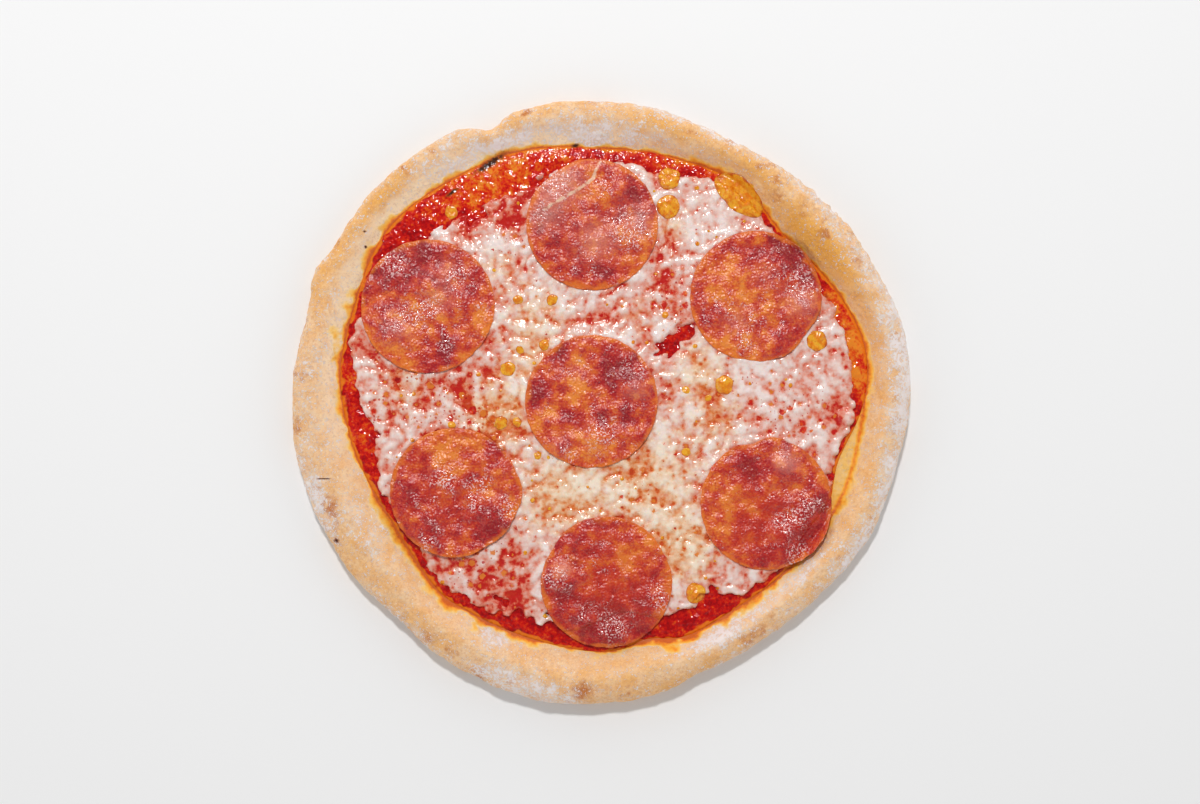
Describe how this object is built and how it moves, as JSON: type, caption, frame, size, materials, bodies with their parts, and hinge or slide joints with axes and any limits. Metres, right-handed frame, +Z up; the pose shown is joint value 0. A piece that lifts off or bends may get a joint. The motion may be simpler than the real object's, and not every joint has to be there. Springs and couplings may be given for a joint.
{
  "type": "whole salami pizza",
  "caption": "Round baked pizza with a puffed, floury rim, a low flat underside, tomato sauce, melted cheese, large thin salami slices and small blisters of melted fat.",
  "frame": {"origin": "middle of the bounding box, on the surface the pizza lies on", "axes": "+Z up, out of the toppings; +Y towards the slice at the top of the picture; +X to the picture's right"},
  "size_m": [0.3018, 0.2946, 0.0183],
  "materials": {
    "baked_dough": "dry baked dough, pale gold with white flour",
    "tomato_sauce": "wet red tomato sauce, oily at its edge",
    "melted_cheese": "melted cream-white cheese, red where it is thin",
    "salami": "oily orange-red cured sausage with dark red patches",
    "melted_fat": "glossy orange melted fat"
  },
  "bodies": {
    "root": {"crust": "baked_dough", "tomato_sauce": "tomato_sauce", "melted_cheese": "melted_cheese", "salami_top": "salami", "salami_upper_right": "salami", "salami_upper_left": "salami", "salami_middle": "salami", "salami_lower_left": "salami", "salami_lower_right": "salami", "salami_bottom": "salami", "fat_blister_oval": "melted_fat", "fat_blister_top": "melted_fat", "fat_blister_high": "melted_fat", "fat_blister_right": "melted_fat", "fat_blister_inner": "melted_fat", "fat_blister_low": "melted_fat"}
  },
  "joints": []
}
